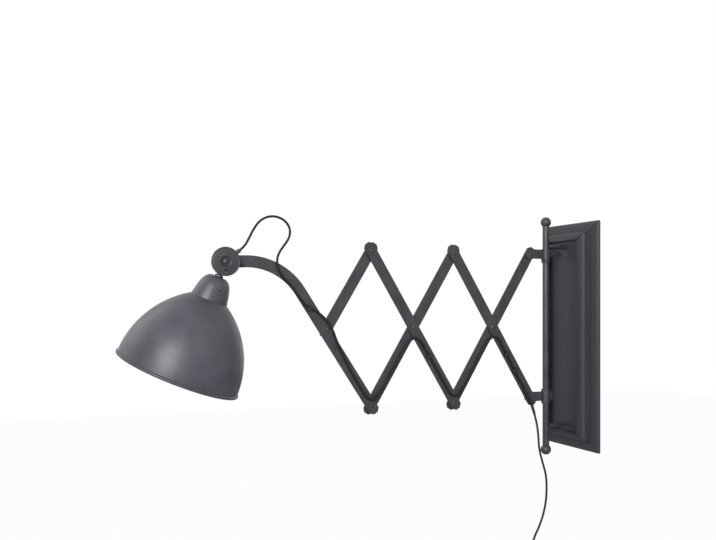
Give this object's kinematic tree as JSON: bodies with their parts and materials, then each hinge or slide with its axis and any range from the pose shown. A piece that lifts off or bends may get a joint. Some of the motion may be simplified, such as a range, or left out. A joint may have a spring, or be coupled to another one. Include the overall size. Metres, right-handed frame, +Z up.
{
  "type": "accordion wall lamp",
  "caption": "Wall lamp on a folding scissor arm that slides and swivels on an upright rod, with a tilting bell shade and a plug-in cable.",
  "frame": {"origin": "centre of the wall plate's back face, on the wall", "axes": "+Z up, +Y into the wall, the scissor reaches out along -Y, and the knuckle and cable are on its +X side"},
  "size_m": [0.2075, 0.869, 0.8062],
  "materials": {
    "painted_frame": "satin charcoal paint",
    "painted_steel": "satin charcoal powder coat",
    "shade_paint": "satin charcoal powder coat",
    "plain_steel": "zinc plated",
    "brass": "plain",
    "cable_rubber": "matt black",
    "black_plastic": "matt black",
    "porcelain": "glazed white"
  },
  "bodies": {
    "wall_mount": {"frame_top": "painted_frame", "frame_bottom": "painted_frame", "frame_right": "painted_frame", "frame_left": "painted_frame", "panel": "painted_frame", "back_plate": "plain_steel", "rod": "painted_steel", "rod_balls": "painted_steel", "standoffs": "painted_steel", "rod_collar": "painted_steel"},
    "upper_bracket": {"upper_bracket": "painted_steel", "bracket_pins": "painted_steel", "thumb_screw": "painted_steel"},
    "lower_slider": {"lower_slider": "painted_steel", "slider_pins": "painted_steel", "strain_relief": "black_plastic", "cable_tail": "cable_rubber", "cable_coil": "cable_rubber", "cable_tie": "black_plastic", "plug_body": "black_plastic", "plug_pins": "brass"},
    "inner_rear": {"bar_inner_rear": "painted_steel", "inner_rear_pins": "painted_steel", "cable_on_inner_rear": "cable_rubber", "cable_turn_bottom_2": "cable_rubber"},
    "inner_front": {"bar_inner_front": "painted_steel", "cable_on_inner_front": "cable_rubber", "inner_clips": "painted_steel", "cable_turn_cross_1": "cable_rubber", "cable_turn_bottom_1": "cable_rubber"},
    "outer_front": {"bar_outer_front": "painted_steel", "outer_front_pin": "painted_steel", "cable_on_outer_front": "cable_rubber", "outer_clip": "painted_steel", "cable_turn_cross_2": "cable_rubber"},
    "outer_rear": {"bar_outer_rear": "painted_steel", "outer_rear_pins": "painted_steel", "cable_on_outer_rear": "cable_rubber", "cable_turn_bottom_3": "cable_rubber"},
    "half_bar": {"half_bar": "painted_steel", "half_bar_pin": "painted_steel"},
    "lamp_arm": {"lamp_arm": "painted_steel", "arm_pin": "painted_steel", "arm_clip": "painted_steel", "cable_on_arm": "cable_rubber", "cable_head_loop": "cable_rubber"},
    "head": {"knuckle_hub": "painted_steel", "knuckle_cover": "painted_steel", "friction_washer": "painted_steel", "knuckle_screw": "painted_steel", "knuckle_nut": "plain_steel", "cable_sleeve": "black_plastic", "stem": "painted_steel", "stem_nuts": "painted_steel", "shade_neck": "shade_paint", "shade_bowl": "shade_paint", "lampholder_body": "black_plastic", "socket_shell": "brass", "socket_contact": "porcelain", "holder_grub_screw": "painted_steel"}
  },
  "joints": [
    {"name": "swivel", "type": "hinge", "parent": "wall_mount", "child": "upper_bracket", "pos_m": [0, -0.066, 0], "axis": [0, 0, 1], "range_deg": [-70, 70]},
    {"name": "scissor_extend", "type": "hinge", "parent": "upper_bracket", "child": "inner_rear", "pos_m": [0, -0.104, 0.156], "axis": [-1, 0, 0], "range_deg": [-17, 27]},
    {"name": "inner_cross", "type": "hinge", "parent": "inner_rear", "child": "inner_front", "pos_m": [0, -0.187, 0.01921], "axis": [1, 0, 0], "range_deg": [-34, 54], "deforming": ["cable_turn_cross_1"]},
    {"name": "slider_pivot", "type": "hinge", "parent": "inner_front", "child": "lower_slider", "pos_m": [0, -0.104, -0.11758], "axis": [-1, 0, 0], "range_deg": [-17, 27], "deforming": ["cable_turn_bottom_1"]},
    {"name": "inner_bottom", "type": "hinge", "parent": "inner_rear", "child": "outer_front", "pos_m": [0, -0.27, -0.11758], "axis": [1, 0, 0], "range_deg": [-34, 54], "deforming": ["cable_turn_bottom_2"]},
    {"name": "outer_cross", "type": "hinge", "parent": "outer_front", "child": "outer_rear", "pos_m": [0, -0.353, 0.01921], "axis": [-1, 0, 0], "range_deg": [-34, 54], "deforming": ["cable_turn_cross_2"]},
    {"name": "arm_bottom", "type": "hinge", "parent": "outer_rear", "child": "lamp_arm", "pos_m": [0, -0.436, -0.11758], "axis": [1, 0, 0], "range_deg": [-34, 54], "deforming": ["cable_turn_bottom_3"]},
    {"name": "arm_cross", "type": "hinge", "parent": "lamp_arm", "child": "half_bar", "pos_m": [0, -0.519, 0.01921], "axis": [-1, 0, 0], "range_deg": [-34, 54]},
    {"name": "head_tilt", "type": "hinge", "parent": "lamp_arm", "child": "head", "pos_m": [0.0098, -0.69991, 0.13166], "axis": [1, 0, 0], "range_deg": [-75, 30], "deforming": ["cable_head_loop"]}
  ],
  "couplings": [
    {"joint": "inner_cross", "follows": "scissor_extend", "ratio": 2},
    {"joint": "slider_pivot", "follows": "scissor_extend", "ratio": 1},
    {"joint": "inner_bottom", "follows": "scissor_extend", "ratio": 2},
    {"joint": "outer_cross", "follows": "scissor_extend", "ratio": 2},
    {"joint": "arm_bottom", "follows": "scissor_extend", "ratio": 2},
    {"joint": "arm_cross", "follows": "scissor_extend", "ratio": 2}
  ]
}
